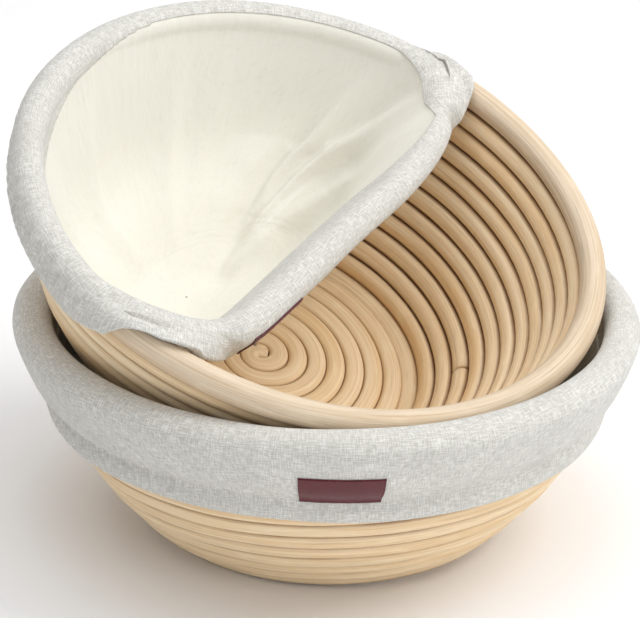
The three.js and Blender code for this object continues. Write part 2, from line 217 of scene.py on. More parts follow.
def section_point(turn, inwards):
    """Points beside the wall: inwards of the canes' centres, or outwards if negative."""
    out = np.interp(turn, np.arange(len(CENTRES)), CENTRES[:, 0])
    up = np.interp(turn, np.arange(len(CENTRES)), CENTRES[:, 1])
    lean = lean_at(np.asarray(turn, float))
    return np.stack([out - inwards * np.sin(lean), up + inwards * np.cos(lean)], -1)


# ---- Canes ----


def coil_line(turns):
    """The coil's centre line: its distance from the axis, height, angle, and the turn it is worth.
    A turn moves out by one pitch in its first half, about a centre half a pitch off the axis."""
    whole = np.floor(turns).astype(int)
    angle = 2 * math.pi * (turns - whole)
    inner = CENTRES[np.clip(whole, 0, len(CENTRES) - 1)]
    outer = CENTRES[np.clip(whole + 1, 0, len(CENTRES) - 1)]
    moving = angle < math.pi
    radius = np.where(moving, (inner[:, 0] + outer[:, 0]) / 2, outer[:, 0])
    offset = np.where(moving, (inner[:, 0] - outer[:, 0]) / 2, 0)
    share = np.where(moving, (1 - np.cos(angle)) / 2, 1)
    height = inner[:, 1] + (outer[:, 1] - inner[:, 1]) * share
    points = np.stack([offset + radius * np.cos(angle), radius * np.sin(angle), height], -1)
    return points, whole + share


def coil_section(turns):
    """For each turn count: the centre, the unit vectors along the wall and inwards, and the half
    sizes of the cane along both."""
    points, worth = coil_line(turns)
    ahead, _ = coil_line(turns + 1e-4)
    heading = ahead - points
    level = np.stack([heading[:, 1], -heading[:, 0], np.zeros(len(turns))], -1)
    level /= np.linalg.norm(level, axis=1)[:, None]
    up = np.array([0.0, 0.0, 1.0])
    lean = lean_at(worth)[:, None]
    along_wall = np.cos(lean) * level + np.sin(lean) * up
    inwards = -np.sin(lean) * level + np.cos(lean) * up
    half_along = np.full(len(turns), PITCH / 2)
    flat = smooth(worth, FLOOR_ROUNDS, FLOOR_ROUNDS + 1)
    half_in = FLOOR_HALF_HEIGHT + (PITCH / 2 - FLOOR_HALF_HEIGHT) * flat
    return points, along_wall, inwards, half_along, half_in


def taper_section(turns):
    """The top cane's cut end: a wedge that fills the space left below the rim."""
    below, along_wall, inwards, half_along, half_in = coil_section(turns - 1)
    angle = 2 * math.pi * turns
    rim = np.stack([RIM[0] * np.cos(angle), RIM[0] * np.sin(angle), np.full(len(turns), RIM[1])], -1)
    across = rim - below
    distance = np.linalg.norm(across, axis=1)[:, None]
    room = distance[:, 0] - PITCH / 2 - RIM_RADIUS
    points = below + across / distance * (PITCH / 2 + room / 2)[:, None]
    share = np.clip(room / PITCH, 0.02, 1)
    return points, across / distance, inwards, half_along * share, half_in * share**0.4


def cane_rings(turns, seed):
    """Rings of points round the cane, with the same points on the straight cane before it was
    bent, and how near each is to the next round."""
    coil = coil_section(turns)
    taper = taper_section(turns)
    on_taper = turns > TAPER_FROM
    mixed = [np.where(on_taper[:, None] if c.ndim > 1 else on_taper, t, c) for c, t in zip(coil, taper)]
    points, along_wall, inwards, half_along, half_in = mixed
    length = np.concatenate([[0], np.cumsum(np.linalg.norm(np.diff(points, axis=0), axis=1))])
    uneven = 0.25 + 0.75 * smooth(turns, FLOOR_ROUNDS, FLOOR_ROUNDS + 1)
    points = points + inwards * (0.12 * MM * uneven * ripple(length, seed, 0.2, 0.05))[:, None]
    half_in = half_in * (1 + 0.03 * uneven * ripple(length, seed + 1, 0.15, 0.03))
    around = 2 * math.pi * np.arange(CANE_SIDES) / CANE_SIDES
    flat = 1 - smooth(turns, FLOOR_ROUNDS - 0.5, FLOOR_ROUNDS + 0.8)[:, None]
    squared = 0.92 - 0.36 * flat
    a = np.sign(np.cos(around)) * np.abs(np.cos(around)) ** squared
    b = np.sign(np.sin(around)) * np.abs(np.sin(around)) ** squared
    rings = (
        points[:, None]
        + along_wall[:, None] * (half_along[:, None] * a)[..., None]
        + inwards[:, None] * (half_in[:, None] * b * (1 - 0.04 * np.abs(a) ** 3 * flat))[..., None]
    )
    along = np.broadcast_to((length + seed * 1.7)[:, None], (len(turns), CANE_SIDES))
    straight = np.stack([half_along[:, None] * a, half_in[:, None] * b, along], -1)
    # How near each point is to the next round: the cane material darkens it there as painted shade.
    edge = np.abs(np.cos(around)) ** 0.92 * (1 - 0.12 * flat)
    return rings, straight, edge


def capped_tube(name, rings, straight, edge, domes):
    """Closes a tube with domes of the given heights at its start and end."""
    count, sides = rings.shape[:2]
    parts = []
    for values, is_place in ((rings, True), (straight, False), (edge[..., None], False)):
        first, last = values[0], values[-1]
        caps = []
        for end, inner, dome in ((first, values[1], domes[0]), (last, values[-2], domes[1])):
            middle = end.mean(0)
            outward = middle - inner.mean(0) if is_place else np.zeros(values.shape[-1])
            norm = np.linalg.norm(outward) or 1
            rise = outward / norm * dome
            rows = [end + (middle - end) * s + rise * d for s, d in ((0.12, 0.6), (0.4, 1))]
            caps.append((rows, middle + rise * 1.1))
        rows = [caps[0][0][1], caps[0][0][0], *values, caps[1][0][0], caps[1][0][1]]
        body = np.concatenate([np.asarray(r).reshape(sides, -1) for r in rows])
        parts.append(np.concatenate([body, [caps[0][1]], [caps[1][1]]]))
    rows = count + 4
    faces = grid_faces(rows, sides)
    start, end = rows * sides, rows * sides + 1
    for j in range(sides):
        k = (j + 1) % sides
        faces.append((start, k, j))
        faces.append((end, (rows - 1) * sides + j, (rows - 1) * sides + k))
    places, straights, edges = parts
    return mesh_object(name, places, faces, {"cane": straights, "edge": edges[:, 0]})


def cane_piece(name, start, stop, seed):
    end_gap = 0.9 * MM
    radius = np.linalg.norm(coil_line(np.array([float(stop)]))[0][0][:2])
    stop -= end_gap / (2 * math.pi * radius)
    if start > 0:
        start += end_gap / (2 * math.pi * np.linalg.norm(coil_line(np.array([float(start)]))[0][0][:2]))
    turns = np.linspace(start, stop, int((stop - start) * SAMPLES_PER_TURN) + 1)
    rings, straight, edge = cane_rings(turns, seed)
    first_end = 0.35 * MM if start > 0 else 3.2 * MM  # the coil's rounded start fills its middle
    return capped_tube(name, rings, straight, edge, (first_end, 0.35 * MM))


def rim_piece(name, seed):
    """The thick top ring. Its two ends are cut to a long slant and meet."""
    angle = np.linspace(0, 2 * math.pi, 180) * (1 - 0.0012)
    around = 2 * math.pi * np.arange(RIM_SIDES) / RIM_SIDES
    length = angle * RIM[0]
    swell = 1 + 0.012 * ripple(length, seed, 0.3, 0.06)
    slant = 0.018 * np.cos(around)
    angles = angle[:, None] + slant
    radius = RIM_RADIUS * swell[:, None]
    wave = 0.25 * MM * ripple(length, seed + 1, 0.35, 0.12)[:, None]
    out = RIM[0] + radius * np.cos(around)
    up = radius * np.sin(around)
    rings = np.stack([out * np.cos(angles), out * np.sin(angles), RIM[1] + wave + up], -1)
    along = np.broadcast_to((length + seed)[:, None], up.shape)
    straight = np.stack([up, radius * np.cos(around), along], -1)
    # The rim's underside: the rim material darkens it there as painted shade.
    edge = np.broadcast_to(np.clip(-np.sin(around + 0.35), 0, 1), (len(angle), RIM_SIDES))
    domes = (0.2 * MM, 0.2 * MM)
    return capped_tube(name, rings[:, ::-1], straight[:, ::-1], edge[:, ::-1], domes)


def nail_piece(name):
    """A small round nail head on the middle of the floor."""
    profile = [(0.02, 0.5), (0.35, 0.46), (0.62, 0.32), (0.72, 0.1), (0.7, -0.2), (0.4, -0.5), (0.02, -0.6)]
    sides = 20
    points = []
    for out, up in profile:
        for j in range(sides):
            turned = 2 * math.pi * j / sides
            points.append((out * math.cos(turned) * MM, out * math.sin(turned) * MM, up * MM))
    faces = grid_faces(len(profile), sides)
    faces.append(tuple(range(sides)))
    faces.append(tuple(reversed(range((len(profile) - 1) * sides, len(profile) * sides))))
    return mesh_object(name, points, [tuple(reversed(f)) for f in faces])


def basket(prefix, turned_by, place, seed, materials):
    body = f"{prefix}_basket"
    matrix = place @ Matrix.Rotation(math.radians(turned_by), 4, "Z")
    floor = cane_piece(f"{prefix}_floor_spiral", 0, FLOOR_ROUNDS, seed)
    finish_piece(floor, materials["cane"], body, [f"{prefix}_floor_coil"], matrix)
    for number in range(1, len(WALL_CANE_ENDS)):
        start, stop = WALL_CANE_ENDS[number - 1 : number + 1]
        wall = cane_piece(f"{prefix}_wall_rounds_{number}", start, stop, seed + 10 * number)
        nodes = [f"{prefix}_wall_cane_{number}"]
        finish_piece(wall, materials["cane"], body, nodes, matrix)
    rim = rim_piece(f"{prefix}_rim_ring", seed + 5)
    finish_piece(rim, materials["rim"], body, [f"{prefix}_rim_cane"], matrix)
    nail = nail_piece(f"{prefix}_centre_nail")
    lift = Matrix.Translation((1.2 * MM, 2.4 * MM, 2 * FLOOR_HALF_HEIGHT + 0.1 * MM))
    finish_piece(nail, materials["steel"], body, (), matrix @ lift)


# ---- Cloth ----


def smooth_line(anchors, count):
    """A smooth curve through the anchors, as points an equal way apart."""
    p = np.asarray(anchors, float)
    p = np.vstack([2 * p[0] - p[1], p, 2 * p[-1] - p[-2]])
    dense = []
    for k in range(1, len(p) - 2):
        for t in np.linspace(0, 1, 24, endpoint=False):
            a, b, c, d = p[k - 1 : k + 3]
            dense.append(0.5 * (2 * b + (c - a) * t + (2 * a - 5 * b + 4 * c - d) * t**2
                                + (3 * b - a - 3 * c + d) * t**3))
    dense.append(p[-2])
    return evenly(np.array(dense), count)


def evenly(line, count):
    length = np.concatenate([[0], np.cumsum(np.linalg.norm(np.diff(line, axis=0), axis=1))])
    wanted = np.linspace(0, length[-1], count)
    return np.stack([np.interp(wanted, length, line[:, k]) for k in range(line.shape[1])], -1)


def left_normals(lines):
    """Unit normals of lines in a plane, pointing left of their direction."""
    along = np.gradient(lines, axis=-2)
    along /= np.linalg.norm(along, axis=-1, keepdims=True)
    return np.stack([-along[..., 1], along[..., 0]], -1)


class Hem:
    """A band of cloth that runs over a rim and ends in a hem turned up round an elastic.
    Its section is given as (out, up) from a path, and starts at the seam with the lining."""

    def __init__(self, path, outward, lines, puckers, seed):
        self.path, self.outward = path, outward
        steps = np.linalg.norm(np.roll(path, -1, 0) - path, axis=1)
        self.along = np.concatenate([[0], np.cumsum(steps)[:-1]])
        self.outer_count = lines.shape[1]
        lines = turned_up(lines)
        spans = np.linalg.norm(np.diff(lines, axis=1), axis=-1)
        self.down = np.concatenate([np.zeros((len(path), 1)), np.cumsum(spans, 1)], 1)
        edge = self.down[:, self.outer_count - 1 : self.outer_count] + 1 * MM
        from_edge = np.abs(edge - self.down)
        self.lines = lines + left_normals(lines) * self.bumps(from_edge, puckers, seed)[..., None]
        self.normals = left_normals(self.lines)

    def bumps(self, from_edge, puckers, seed):
        """Short pleats above the elastic, with the stitch line's groove and soft unevenness."""
        x = self.along[:, None]
        wander = ripple(self.along, seed, 0.09, 0.02)[:, None]
        pleats = np.cos(2 * math.pi * (x + 1.6 * MM * wander) / PLEAT) * 0.5 + 0.5
        lean = np.cos(2 * math.pi * (x + 0.22 * from_edge + 2 * MM * wander) / (PLEAT * 1.7)) * 0.5 + 0.5
        near_stitches = np.exp(-(((from_edge - HEM_FOLD * 0.75) / (4.2 * MM)) ** 2))
        far = np.exp(-(((from_edge - HEM_FOLD * 1.4) / (6 * MM)) ** 2))
        groove = np.exp(-(((from_edge - HEM_FOLD) / (0.9 * MM)) ** 2))
        slow = ripple(self.along, seed + 3, 0.2, 0.05)[:, None] * smooth(self.down, 0, 20 * MM)
        size = puckers[:, None]
        raised = size * (1.15 * MM * pleats**2 * near_stitches + 0.7 * MM * lean * far)
        return raised - (0.08 + 0.2 * size) * MM * groove + 0.22 * MM * slow

    def place(self, points):
        """Points given as (out, up) beside each station of the path, in space."""
        return (
            self.path[:, None]
            + self.outward[:, None] * points[..., :1]
            + np.array([0.0, 0.0, 1.0]) * points[..., 1:]
        )

    def surface(self, lift):
        return self.place(self.lines + self.normals * lift)

    def layers(self, crossing):
        """Extra clearance of the face and the back, which keeps the hem's two layers apart where
        it lies over the rim: crossing says how much each station does."""
        column = np.arange(self.down.shape[1])
        last = self.outer_count - 1
        outer = smooth(column, last - 28, last - 4) * (1 - smooth(column, last, last + 7))
        inner = np.where(column > last, 1 - outer, 0)
        face = outer * (0.7 * HEM_THICKNESS + CLOTH)
        back = outer * 0.7 * HEM_THICKNESS + inner * CLOTH
        return crossing[:, None] * face, crossing[:, None] * back

    def mesh(self, name, push, crossing=None):
        half = CLOTH / 2
        crossing = np.zeros(len(self.path)) if crossing is None else crossing
        over, under = self.layers(crossing)
        face = push(self.surface(half), over)
        back = push(self.surface(-half), under)[:, ::-1]
        grid = np.concatenate([face, back], 1)
        x = np.broadcast_to(self.along[:, None], self.down.shape)
        flat = np.stack([x, self.down, np.zeros_like(x)], -1)
        flat = np.concatenate([flat, flat[:, ::-1]], 1)
        rows, columns = grid.shape[:2]
        faces = grid_faces(rows, columns, close_rows=True)
        return mesh_object(name, grid, faces, {"cloth": flat})

    def total(self):
        return self.along[-1] + self.along[1]

    def row(self, from_edge, lift, push, stations=slice(None)):
        """The line that far above the hem's edge, on its outer face."""
        outer = (self.lines + self.normals * lift)[stations, : self.outer_count]
        down = self.down[stations, : self.outer_count]
        wanted = down[:, -1] - from_edge
        points = np.array([
            [np.interp(w, d, line[:, k]) for k in (0, 1)] for w, d, line in zip(wanted, down, outer)
        ])
        space = (
            self.path[stations]
            + self.outward[stations] * points[:, :1]
            + np.array([0.0, 0.0, 1.0]) * points[:, 1:]
        )
        return push(space)


def turned_up(lines):
    """Adds the hem: each line goes on round a small bend and back up behind itself."""
    end = lines[:, -1]
    heading = lines[:, -1] - lines[:, -3]
    heading /= np.linalg.norm(heading, axis=1)[:, None]
    behind = np.stack([heading[:, 1], -heading[:, 0]], -1)
    radius = HEM_THICKNESS / 2
    parts = [lines]
    for turned in np.linspace(0, math.pi, 7)[1:]:
        point = end + heading * radius * math.sin(turned) + behind * radius * (1 - math.cos(turned))
        parts.append(point[:, None])
    foot = parts[-1]
    for up in np.linspace(0, HEM_FOLD, 9)[1:]:
        parts.append(foot - (heading * up)[:, None])
    return np.concatenate(parts, 1)


def off_rim(clearance, upward=0.0):
    """Keeps cloth out of the rim and the wall: points too near either are moved straight out, or
    upwards too where upward is above 0. Extra clearance can be given for each point."""

    def push(points, extra=0.0):
        around = np.hypot(points[..., 0], points[..., 1])
        flat = np.stack([around, points[..., 2]], -1)
        offset = flat - RIM
        distance = np.linalg.norm(offset, axis=-1, keepdims=True)
        room = clearance + np.broadcast_to(extra, around.shape)
        least = RIM_RADIUS + room[..., None]
        escape = offset + np.array([0.0, upward]) * (1 - distance / least)
        escape /= np.maximum(np.linalg.norm(escape, axis=-1, keepdims=True), 1e-6)
        flat = np.where(distance < least, RIM + escape * least, flat)
        down_wall = np.array([-math.cos(TOP_LEAN), -math.sin(TOP_LEAN)])
        out_of_wall = np.array([math.sin(TOP_LEAN), -math.cos(TOP_LEAN)])
        depth = (flat - RIM) @ down_wall
        beside = (flat - RIM) @ out_of_wall
        need = PITCH / 2 + room
        in_wall = (depth > 0) & (depth < 16 * MM) & (np.abs(beside) < need)
        side = np.where(beside < 0, -1.0, 1.0)
        shift = np.where(in_wall, side * need - beside, 0)
        flat = flat + shift[..., None] * out_of_wall
        scale = flat[..., 0] / np.maximum(around, 1e-6)
        return np.stack([points[..., 0] * scale, points[..., 1] * scale, flat[..., 1]], -1)

    return push


def inner_leg(length):
    """The part of the section inside the rim: up along the wall, then over the rim's top."""
    start = math.radians(200)
    foot = RIM_OVER * np.array([math.cos(start), math.sin(start)])
    wall = np.array([math.cos(TOP_LEAN), math.sin(TOP_LEAN)])
    line = [foot - wall * length * share for share in (1, 0.66, 0.33)]
    for turned in np.radians([200, 180, 155, 130, 105, 80, 55, 30, 8]):
        line.append(RIM_OVER * np.array([math.cos(turned), math.sin(turned)]))
    return line


def stitches_piece(name, line, outward):
    """A row of thread stitches along a closed line, each a small bar with sunken ends."""
    closed = np.vstack([line, line[:1]])
    total = np.linalg.norm(np.diff(closed, axis=0), axis=1).sum()
    count = int(total / (STITCH + STITCH_GAP))
    steps = 6
    fine = evenly(closed, count * steps + 1)
    out_fine = evenly(np.vstack([outward, outward[:1]]), count * steps + 1)
    sides, points, faces = 6, [], []
    radius = 0.22 * MM
    for n in range(count):
        base = len(points)
        for k in range(steps):
            here = fine[n * steps + k]
            heading = fine[n * steps + k + 1] - here
            heading /= np.linalg.norm(heading)
            out = out_fine[n * steps + k]
            up = np.cross(heading, out)
            thin = math.sin(math.pi * (k + 0.5) / steps) ** 0.5
            for j in range(sides):
                turned = 2 * math.pi * j / sides
                ring = out * math.cos(turned) + up * math.sin(turned)
                points.append(here + ring * radius * thin + out * radius * (thin - 1.1))
        for i in range(steps - 2):
            for j in range(sides):
                k = (j + 1) % sides
                a, b = base + i * sides, base + (i + 1) * sides
                faces.append((a + j, a + k, b + k, b + j))
        last = base + (steps - 2) * sides
        faces.append(tuple(base + j for j in reversed(range(sides))))
        faces.append(tuple(last + j for j in range(sides)))
    return mesh_object(name, points, faces)


def strip_piece(name, low, high, outward, thickness):
    """A flat closed loop, such as an elastic, between two lines, with ribs along it."""
    shares = np.linspace(0, 1, 13)
    middle = low[:, None] + (high - low)[:, None] * shares[:, None]
    ribs = 1 + 0.3 * np.cos(shares * 2 * math.pi * 4)
    shift = outward[:, None] * (thickness / 2 * ribs)[:, None]
    grid = np.concatenate([middle + shift, (middle - shift)[:, ::-1]], 1)
    rows, columns = grid.shape[:2]
    return mesh_object(name, grid, grid_faces(rows, columns, close_rows=True))


def label_piece(name, hem, centre, push, size, above):
    """A woven patch that lies on the band's outer face."""
    near = np.where(np.abs(wrapped(hem.along - centre, hem.total())) < size[0] / 2)[0]
    offset = wrapped(hem.along[near] - centre, hem.total())
    near, offset = near[np.argsort(offset)], np.sort(offset)
    rows = np.linspace(above, above + size[1], 26)
    lift = CLOTH / 2 + 0.12 * MM
    bottom, top = [
        np.stack([hem.row(up, height, push, near) for up in rows], 1)
        for height in (lift, lift + LABEL_THICKNESS)
    ]
    columns, count = len(rows), len(near)
    grid = np.concatenate([top, bottom[:, ::-1]], 1)
    faces = grid_faces(count, 2 * columns)
    faces.append(tuple(range(2 * columns)))
    faces.append(tuple((count - 1) * 2 * columns + j for j in reversed(range(2 * columns))))
    flat = np.stack(np.meshgrid(offset, np.concatenate([rows, rows[::-1]]), indexing="ij"), -1)
    flat = np.concatenate([flat, np.zeros((*flat.shape[:2], 1))], -1)
    return mesh_object(name, grid, faces, {"cloth": flat})


def wrapped(x, total):
    return (x + total / 2) % total - total / 2


# ---- The fitted liner ----


def rim_path(angles):
    outward = np.stack([np.cos(angles), np.sin(angles), np.zeros(len(angles))], -1)
    return outward * RIM[0] + np.array([0, 0, RIM[1]]), outward


def lower_liner(materials):
    angles = np.linspace(0, 2 * math.pi, HEM_STATIONS, endpoint=False)
    path, outward = rim_path(angles)
    loose = 1.0 + 1.3 * (1 - np.cos(angles + 0.25)) / 2
    hem_out = LOWER_HEM[0] - RIM[0]
    hem_up = LOWER_HEM[1] - RIM[1]
    lines = []
    for slack in loose * MM:
        line = inner_leg(6.5 * MM)
        shoulder = RIM_OVER + slack
        line = line[:-3] + [
            np.array([shoulder * 0.55, RIM_OVER * 0.86]),
            np.array([shoulder * 0.93, RIM_OVER * 0.42]),
            np.array([shoulder + 0.2 * MM, -1.5 * MM]),
            np.array([shoulder * 0.45 + hem_out * 0.3, hem_up * 0.5]),
            np.array([hem_out + 0.9 * MM, hem_up + 9 * MM]),
            np.array([hem_out + 0.9 * MM, hem_up + 3 * MM]),
            np.array([hem_out + slack * 0.3, hem_up]),
        ]
        lines.append(smooth_line(line, 72))
    shadow_side = np.degrees(angles)
    puckers = 0.12 + 0.88 * smooth(shadow_side, 160, 185) * (1 - smooth(shadow_side, 222, 262))
    hem = Hem(path, outward, np.array(lines), puckers, 31)
    push = off_rim(RIM_GAP + CLOTH / 2)
    band = hem.mesh("lower_linen_band", push)
    finish_piece(band, materials["linen"], "lower_liner", ["lower_liner_band"])
    finish_hem("lower", hem, push, materials, LOWER, math.radians(LOWER_LABEL) % (2 * math.pi) * RIM[0])
    lining = bowl_piece("lower_lining", lower_bowl)
    finish_piece(lining, materials["lining"], "lower_liner", ["lower_liner_lining"])


def finish_hem(prefix, hem, push, materials, matrix, label_at):
    """The stitches, the elastic inside the hem, and the woven label."""
    body = f"{prefix}_liner"
    line = hem.row(HEM_FOLD, CLOTH / 2 - 0.1 * MM, push)
    stitches = stitches_piece(f"{prefix}_hem_stitches", line, hem.outward)
    finish_piece(stitches, materials["thread"], body, (), matrix)
    low = hem.row(1.2 * MM, -HEM_THICKNESS / 2, push)
    high = hem.row(1.2 * MM + ELASTIC_WIDTH, -HEM_THICKNESS / 2, push)
    elastic = strip_piece(f"{prefix}_elastic_band", low, high, hem.outward, 0.9 * MM)
    nodes = [f"{prefix}_liner_elastic"]
    finish_piece(elastic, materials["elastic"], body, nodes, matrix)
    above = LABEL_ABOVE[prefix]
    label = label_piece(f"{prefix}_woven_label", hem, label_at, push, LABEL_SIZE[prefix], above)
    finish_piece(label, materials["label"], body, [f"{prefix}_liner_label"], matrix)


def bowl_piece(name, place, rows=120, columns=360):
    """A closed shell for a bowl of cloth: place(direction, share) gives its middle surface, with
    share 0 at the seam and 1 in the middle of the floor."""
    shares = np.linspace(0, 0.996, rows)
    directions = np.linspace(0, 2 * math.pi, columns, endpoint=False)
    share, direction = np.meshgrid(shares, directions, indexing="ij")
    middle = place(direction, share)
    down = np.gradient(middle, axis=0)
    ring = np.roll(middle, -1, 1) - np.roll(middle, 1, 1)
    normal = np.cross(ring, down)
    normal /= np.linalg.norm(normal, axis=-1, keepdims=True)
    half = LINING_CLOTH / 2
    grid = np.concatenate([(middle - normal * half)[::-1], middle + normal * half])
    reach = (1 - share) * 0.13
    flat = np.stack([reach * np.cos(direction), reach * np.sin(direction), np.zeros_like(share)], -1)
    flat = np.concatenate([flat[::-1], flat]).reshape(-1, 3)
    faces = grid_faces(2 * rows, columns)
    faces.append(tuple(range(columns)))
    faces.append(tuple((2 * rows - 1) * columns + j for j in reversed(range(columns))))
    return mesh_object(name, grid, faces, {"cloth": flat})


def lower_bowl(direction, share):
    wall = 1 - FLOOR_SHARE
    up_wall = LOWER_LINING_TOP - (LOWER_LINING_TOP - FLOOR_ROUNDS) * share / wall
    turn = np.where(share < wall, up_wall, FLOOR_ROUNDS)
    turn = np.where(share > wall, FLOOR_ROUNDS * (1 - share) / FLOOR_SHARE, turn)
    beside = section_point(turn, 4.75 * MM)
    beside[..., 1] += 0.1 * MM * np.cos(2 * math.pi * turn)
    out, up = beside[..., 0], np.maximum(beside[..., 1], 2 * FLOOR_HALF_HEIGHT + 0.8 * MM)
    return np.stack([out * np.cos(direction), out * np.sin(direction), up], -1)


# ---- The half-fitted liner, in the leaning basket's own frame ----

HELD = np.array([math.cos(math.radians(153.5)), math.sin(math.radians(153.5)), 0])
ACROSS = np.array([HELD[1], -HELD[0], 0])
BAG_MIDDLE = 35 * MM  # from the basket's axis towards the held side


def upper_path():
    """The hem's closed path: over the rim, off it, along the free side and back. Also gives how
    far inside the rim's line each station is."""
    free_line = np.array(FREE_LINE) * MM
    free = HELD * free_line[:, :1] + ACROSS * free_line[:, 1:]
    free[:, 2] = RIM[1]
    ends = [math.degrees(math.atan2(end[1], end[0])) % 360 for end in (free[0], free[-1])]
    on_rim, _ = rim_path(np.radians(np.linspace(ends[1], ends[0], 60)))
    loop = np.vstack([on_rim[:-1], smooth_line(free, 200)])
    loop = evenly(loop, HEM_STATIONS + 1)[:-1]
    for _ in range(130):
        loop = loop * 0.5 + (np.roll(loop, 1, 0) + np.roll(loop, -1, 0)) * 0.25
    inside = RIM[0] - np.hypot(loop[:, 0], loop[:, 1])
    heading = np.roll(loop, -1, 0) - np.roll(loop, 1, 0)
    outward = np.stack([heading[:, 1], -heading[:, 0], np.zeros(len(loop))], -1)
    outward /= np.linalg.norm(outward, axis=1)[:, None]
    return loop, outward, inside


def upper_sections(inside, bearing):
    held_line = inner_leg(8.5 * MM) + [
        np.array([RIM_OVER + 0.2 * MM, -1.5 * MM]),
        np.array([RIM_OVER - 0.3 * MM, -5 * MM]),
        np.array([RIM_OVER - 1.2 * MM, -10.5 * MM]),
    ]
    knots = [0] + [distance * MM for distance, _ in FREE_SECTIONS]
    shapes = [smooth_line(held_line, 60)]
    shapes += [smooth_line(np.array(section) * MM, 60) for _, section in FREE_SECTIONS]
    place = np.interp(inside, knots, np.arange(len(knots)))
    low = np.clip(place.astype(int), 0, len(knots) - 2)
    weight = (place - low)[:, None, None]
    shapes = np.array(shapes)
    lines = shapes[low] * (1 - weight) + shapes[low + 1] * weight
    high_seam = smooth(bearing, 30, 58) * (1 - smooth(bearing, 128, 188))
    start = 0.4 * high_seam
    return np.array([evenly(line[int(round(s * 60)):], 60) for line, s in zip(lines, start)])


def upper_liner(materials):
    path, outward, inside = upper_path()
    bearing = np.degrees(np.arctan2(path[:, 1], path[:, 0])) % 360
    lines = upper_sections(inside, bearing)
    freedom = smooth(inside, 0, 10 * MM)
    left = smooth(bearing, 170, 196) * (1 - smooth(bearing, 226, 246))
    puckers = (0.1 + 0.9 * left) * (1 - 0.8 * freedom)
    hem = Hem(path, outward, lines, puckers, 57)
    push = off_rim(RIM_GAP + CLOTH / 2, HEM_RISE)
    crossing = smooth(inside, 0.3 * MM, 3 * MM)
    band = hem.mesh("upper_linen_band", push, crossing)
    finish_piece(band, materials["linen"], "upper_liner", ["upper_liner_band"], UPPER)
    across = path @ ACROSS
    towards = path @ HELD
    label_station = np.argmin(np.abs(across - FREE_LABEL_ALONG) + np.where(towards > 0, 1, 0))
    finish_hem("upper", hem, push, materials, UPPER, hem.along[label_station])
    seam = push(hem.surface(0))[:, :4]
    bag = Bag(seam)
    off_cane = off_rim(RIM_GAP + LINING_CLOTH / 2)
    lining = bowl_piece("upper_lining", lambda *at: off_cane(bag.place(*at)), 150, 660)
    finish_piece(lining, materials["lining"], "upper_liner", ["upper_liner_lining"], UPPER)


def folds(direction, share, reach):
    """How far the bag's folds stand inwards."""
    total = np.zeros_like(reach)
    for line, height, higher, lower in FOLDS:
        bearings, shares = np.array(line).T
        at = np.radians(np.interp(share, shares, bearings))
        aside = wrapped(direction - at, 2 * math.pi) * reach
        width = np.where(aside > 0, higher, lower) * MM
        ends = smooth(share, shares[0] - 0.06, shares[0] + 0.1)
        ends = ends * (1 - smooth(share, shares[-1] - 0.12, shares[-1] + 0.05))
        total += height * MM * np.exp(-np.abs(aside / width) ** 1.6) * ends
    return total


class Bag:
    """The hanging lining: it lies on the wall of the held side, and its free side slopes in to
    the floor. Directions are taken about the middle of the bag."""

    def __init__(self, seam):
        """seam holds the first few rows of the band, its edge first."""
        self.middle = HELD * BAG_MIDDLE
        edge = seam[:, 1] - self.middle
        direction = np.arctan2(edge[:, 1], edge[:, 0]) % (2 * math.pi)
        order = np.argsort(direction)
        self.seam_direction = direction[order]
        self.seam_reach = np.hypot(edge[order, 0], edge[order, 1]) + 0.6 * MM
        self.seam_height = edge[order, 2] + self.middle[2]

    def at_seam(self, direction, values):
        return np.interp(direction, self.seam_direction, values, period=2 * math.pi)

    def place(self, direction, share):
        """A point of the bag, its floor's edge rounded by taking the mean over a short way."""
        spread = BAG_ROUNDING * smooth(share, 0.2, 0.45) * (1 - smooth(share, 0.75, 0.95))
        steps = (-1, -0.5, 0, 0.5, 1)
        nearby = [self.unrounded(direction, share + spread * step) for step in steps]
        return sum(nearby) / len(nearby)

    def unrounded(self, direction, share):
        wall = 1 - FLOOR_SHARE
        turn = np.clip(LINING_TOP - (LINING_TOP - FLOOR_ROUNDS) * share / wall, FLOOR_ROUNDS, None)
        beside = section_point(turn, 4.9 * MM)
        ray = np.stack([np.cos(direction), np.sin(direction)], -1)
        outwards = BAG_MIDDLE * (ray @ HELD[:2])
        to_wall = np.sqrt(beside[..., 0] ** 2 - BAG_MIDDLE**2 + outwards**2) - outwards
        up_share = (beside[..., 1] - BAG_FLOOR) / (RIM[1] - BAG_FLOOR)
        free_edge = BAG_FLOOR_EDGE + (BAG_TOP_EDGE - BAG_FLOOR_EDGE) * up_share
        towards = np.maximum(-(ray @ HELD[:2]), 1e-3)
        to_edge = (BAG_MIDDLE - free_edge) / towards
        reach = (to_wall**-BAG_POWER + to_edge**-BAG_POWER) ** (-1 / BAG_POWER)
        on_floor = np.clip((1 - share) / FLOOR_SHARE, 0, 1)
        height = np.maximum(beside[..., 1], BAG_FLOOR)
        reach = reach * on_floor
        raised = folds(direction, share, reach)
        upright = 1 - 0.75 * smooth(share, wall - 0.12, wall + 0.06)
        slump = 6.5 * MM * np.exp(-(((share - wall) / 0.17) ** 2))
        reach = reach - (raised + slump) * upright
        height = height + raised * (1 - 0.6 * upright) + slump * 0.6
        join = 1 - smooth(share, 0, 0.2)
        reach = reach + (self.at_seam(direction, self.seam_reach) - reach) * join
        height = height + (self.at_seam(direction, self.seam_height) - height) * join
        flat = self.middle[:2] + reach[..., None] * ray
        return np.concatenate([flat, height[..., None]], -1)


# ---- Materials ----


